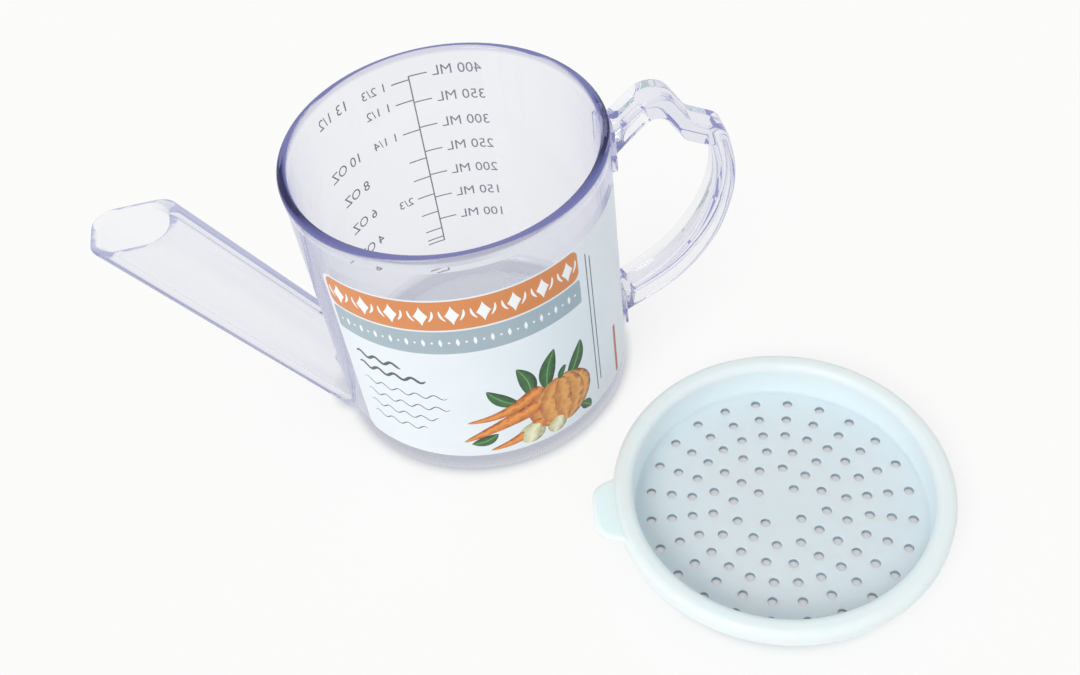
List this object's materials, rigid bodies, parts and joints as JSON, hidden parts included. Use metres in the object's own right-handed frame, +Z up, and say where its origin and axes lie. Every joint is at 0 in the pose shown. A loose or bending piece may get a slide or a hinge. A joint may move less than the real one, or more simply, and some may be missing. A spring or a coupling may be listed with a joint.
{
  "type": "gravy fat separator jug",
  "caption": "Clear plastic measuring jug whose spout draws from the floor of the cup, with a loop handle, a printed wrap label and a loose push-on strainer lid beside it.",
  "frame": {"origin": "centre of the foot ring under the cup, on the table", "axes": "+Z up along the cup's axis, +X towards the handle, -X towards the spout, -Y towards the printed front"},
  "size_m": [0.2079, 0.1671, 0.0894],
  "materials": {
    "clear_plastic": "clear, moulded, gloss",
    "printed_label": "smooth printed film",
    "lid_plastic": "translucent, satin gloss"
  },
  "bodies": {
    "cup": {"cup_body": "clear_plastic", "spout": "clear_plastic", "handle": "clear_plastic", "wrap_label": "printed_label"},
    "lid": {"strainer_lid": "lid_plastic"}
  },
  "joints": [
    {"name": "lid_lift", "type": "slide", "parent": "cup", "child": "lid", "axis": [0, 0, 1], "range_m": [0, 0.1]}
  ]
}
